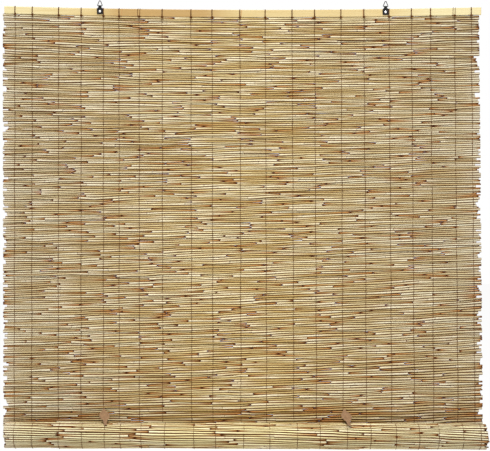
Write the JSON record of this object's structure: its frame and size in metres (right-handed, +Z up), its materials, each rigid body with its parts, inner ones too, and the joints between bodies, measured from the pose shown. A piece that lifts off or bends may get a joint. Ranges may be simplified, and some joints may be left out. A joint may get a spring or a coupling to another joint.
{
  "type": "reed roll-up blind",
  "caption": "Roll-up window blind of natural reeds bound with twine under a bowed bamboo batten, hung by ring hangers, its lower end rolled up and held by soft ties.",
  "frame": {"origin": "midway between the two hanging eyes, in the plane of the rings", "axes": "+X along the batten to the viewer's right, +Y towards the wall, +Z up"},
  "size_m": [1.235, 0.0719, 1.1411],
  "materials": {
    "bamboo": "dry bamboo skin",
    "reed": "dry natural reed",
    "cane": "dry cane",
    "twine": "brown twisted twine",
    "dark_metal": "dark satin",
    "ring_metal": "dark grey",
    "screw_metal": "bright",
    "tie": "soft tan strip"
  },
  "bodies": {
    "blind": {"head_batten": "bamboo", "hanger_plate_left": "dark_metal", "hanger_plate_right": "dark_metal", "hanger_screw_left": "screw_metal", "hanger_screw_right": "screw_metal", "reed_mat": "reed", "warp_twine_01": "twine", "warp_twine_02": "twine", "warp_twine_03": "twine", "warp_twine_04": "twine", "warp_twine_05": "twine", "warp_twine_06": "twine", "warp_twine_07": "twine", "warp_twine_08": "twine", "warp_twine_09": "twine", "warp_twine_10": "twine", "warp_twine_11": "twine", "warp_twine_12": "twine", "warp_twine_13": "twine", "warp_twine_14": "twine", "warp_twine_15": "twine", "warp_twine_16": "twine", "warp_twine_17": "twine", "warp_twine_18": "twine", "warp_twine_19": "twine", "warp_twine_20": "twine", "warp_twine_21": "twine"},
    "ring_left": {"hanger_ring_left": "ring_metal"},
    "ring_right": {"hanger_ring_right": "ring_metal"},
    "ties": {"roll_tie_left": "tie", "roll_tie_right": "tie"},
    "roll": {"reed_roll": "reed", "core_rod": "cane", "roll_twine_01": "twine", "roll_twine_02": "twine", "roll_twine_03": "twine", "roll_twine_04": "twine", "roll_twine_05": "twine", "roll_twine_06": "twine", "roll_twine_07": "twine", "roll_twine_08": "twine", "roll_twine_09": "twine", "roll_twine_10": "twine", "roll_twine_11": "twine", "roll_twine_12": "twine", "roll_twine_13": "twine", "roll_twine_14": "twine", "roll_twine_15": "twine", "roll_twine_16": "twine", "roll_twine_17": "twine", "roll_twine_18": "twine", "roll_twine_19": "twine", "roll_twine_20": "twine", "roll_twine_21": "twine"}
  },
  "joints": [
    {"name": "ring_left_swing", "type": "hinge", "parent": "blind", "child": "ring_left", "pos_m": [-0.365, 0, -0.00452], "axis": [1, 0, 0], "range_deg": [-95, 130]},
    {"name": "ring_right_swing", "type": "hinge", "parent": "blind", "child": "ring_right", "pos_m": [0.365, 0, -0.00452], "axis": [1, 0, 0], "range_deg": [-95, 130]},
    {"name": "roll_lift", "type": "slide", "parent": "blind", "child": "ties", "axis": [0, 0, 1], "range_m": [0, 0.93], "deforming": ["reed_mat", "warp_twine_01", "warp_twine_02", "warp_twine_03", "warp_twine_04", "warp_twine_05", "warp_twine_06", "warp_twine_07", "warp_twine_08", "warp_twine_09", "warp_twine_10", "warp_twine_11", "warp_twine_12", "warp_twine_13", "warp_twine_14", "warp_twine_15", "warp_twine_16", "warp_twine_17", "warp_twine_18", "warp_twine_19", "warp_twine_20", "warp_twine_21"]},
    {"name": "roll_spin", "type": "hinge", "parent": "ties", "child": "roll", "pos_m": [0.01, -0.02662, -1.09575], "axis": [1, 0, 0], "range_deg": [-1440, 0]}
  ],
  "couplings": [
    {"joint": "roll_spin", "follows": "roll_lift", "rad_per_m": -27.02}
  ]
}
